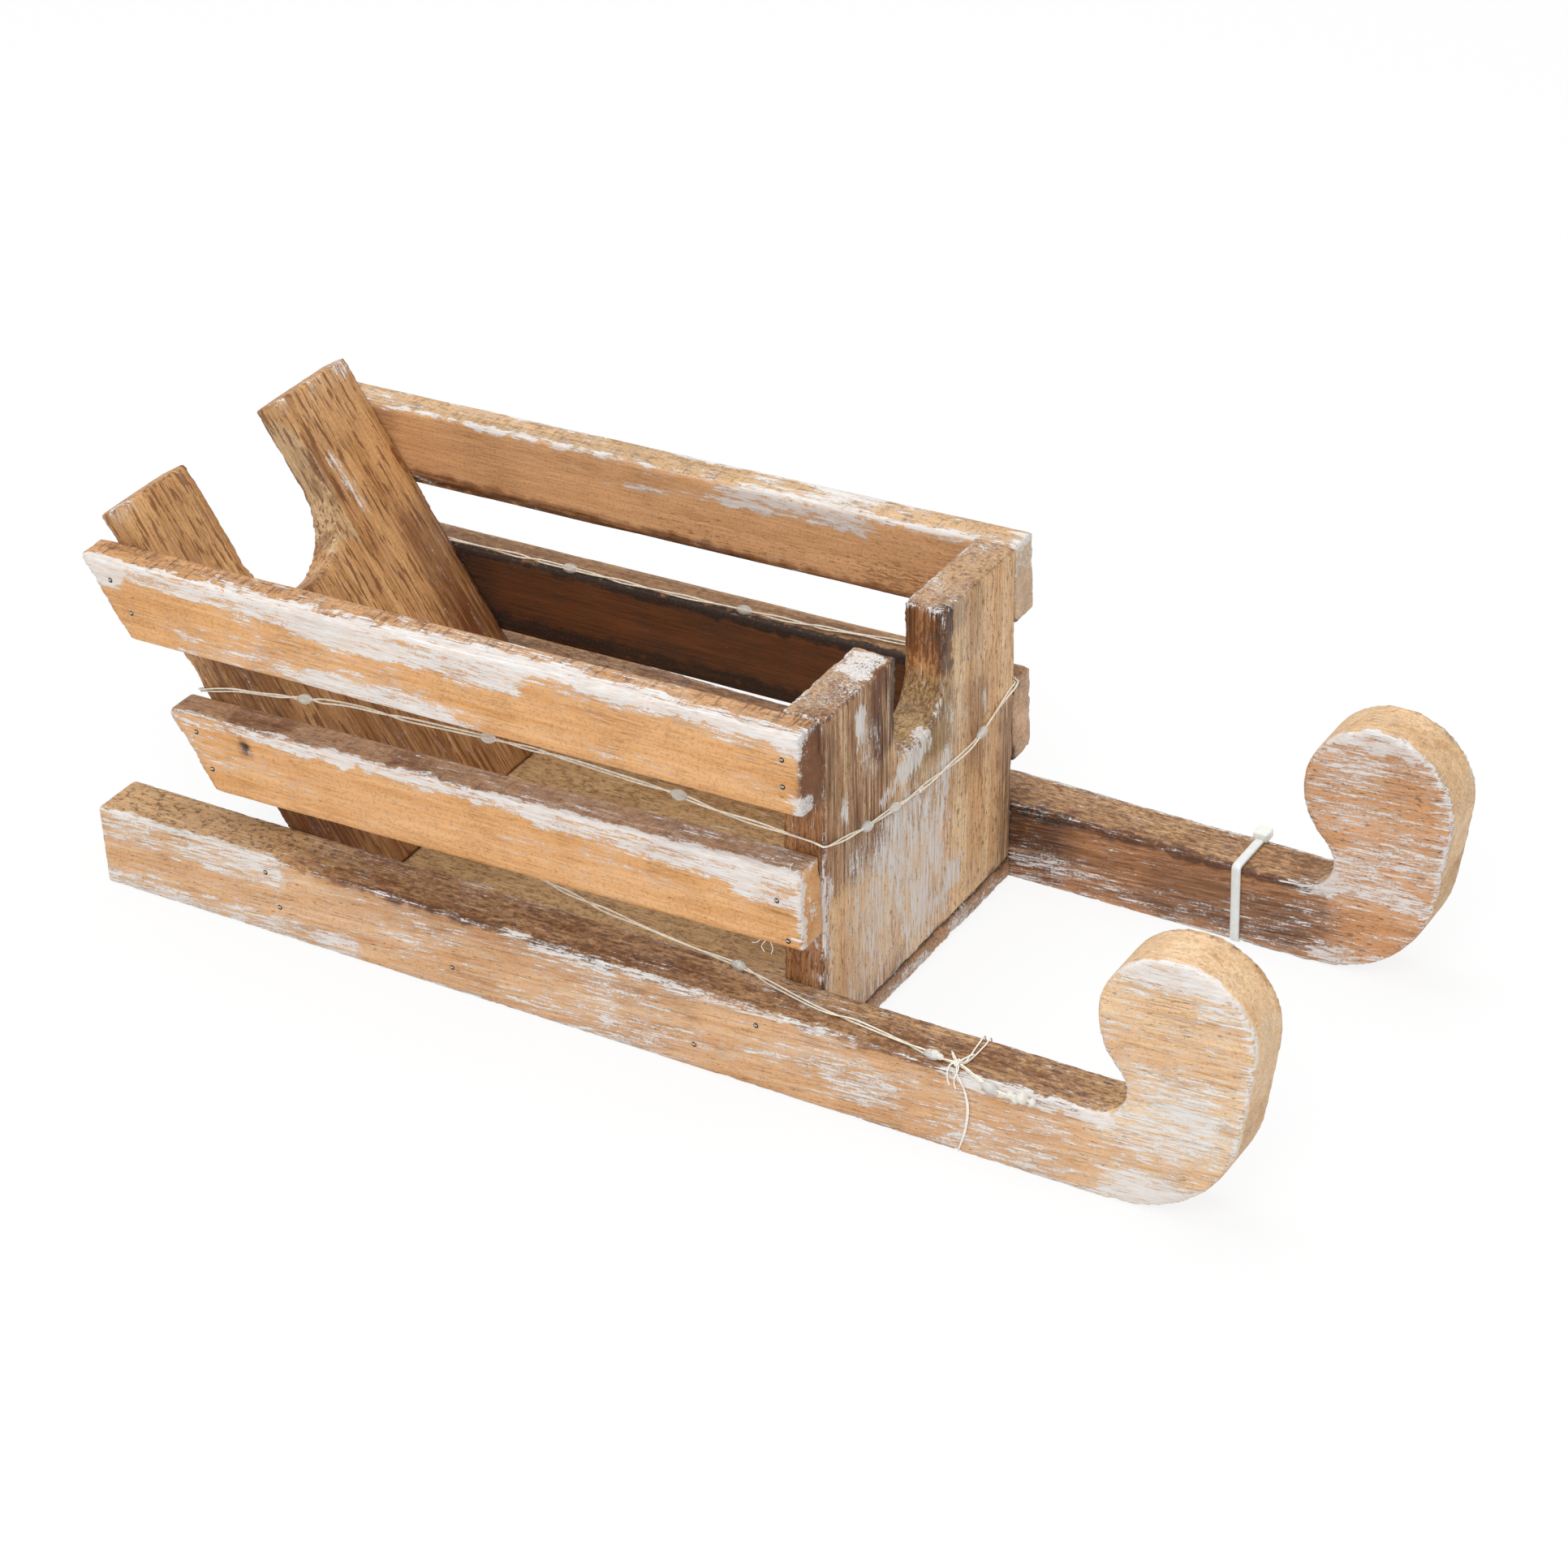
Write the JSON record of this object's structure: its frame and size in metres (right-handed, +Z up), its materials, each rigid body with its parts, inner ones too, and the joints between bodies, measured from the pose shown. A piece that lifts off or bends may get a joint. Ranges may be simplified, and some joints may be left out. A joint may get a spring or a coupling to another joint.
{
  "type": "wooden sled",
  "caption": "Small decorative table sled: a slatted crate between notched end boards, on curled runners, trimmed with a wire light string.",
  "frame": {"origin": "on the ground under the middle of the sled's length and width", "axes": "+X forward, towards the curls of the runners; +Y to the left; +Z up"},
  "size_m": [0.3436, 0.1362, 0.1105],
  "materials": {
    "runner_wood": "brushed whitewash over tan pine",
    "slat_wood": "whitewash over honey pine",
    "front_wood": "streaked whitewash over brown pine",
    "back_wood": "brown stain",
    "floor_wood": "bare olive tan",
    "strap": "clear, slightly milky",
    "thread": "off-white cotton",
    "wire": "silvered twin strands",
    "clear_resin": "clear, hardened",
    "box_plastic": "clear, slightly milky",
    "steel": "plain",
    "board_green": "green circuit board",
    "part_tan": "tan",
    "switch_black": "black"
  },
  "bodies": {
    "root": {"runner_right": "runner_wood", "runner_left": "runner_wood", "floor_board": "floor_wood", "front_board": "front_wood", "back_board": "back_wood", "slat_upper_right": "slat_wood", "slat_lower_right": "slat_wood", "slat_upper_left": "slat_wood", "slat_lower_left": "slat_wood", "strap_left": "strap", "thread_right": "thread", "light_wire_crate": "wire", "light_wire_runner": "wire", "glue_blob": "clear_resin", "battery_case": "box_plastic", "battery_lid": "box_plastic", "battery_end_cover": "box_plastic", "battery_contacts": "steel", "circuit_board": "board_green", "circuit_parts": "part_tan", "slide_switch": "switch_black"}
  },
  "joints": []
}
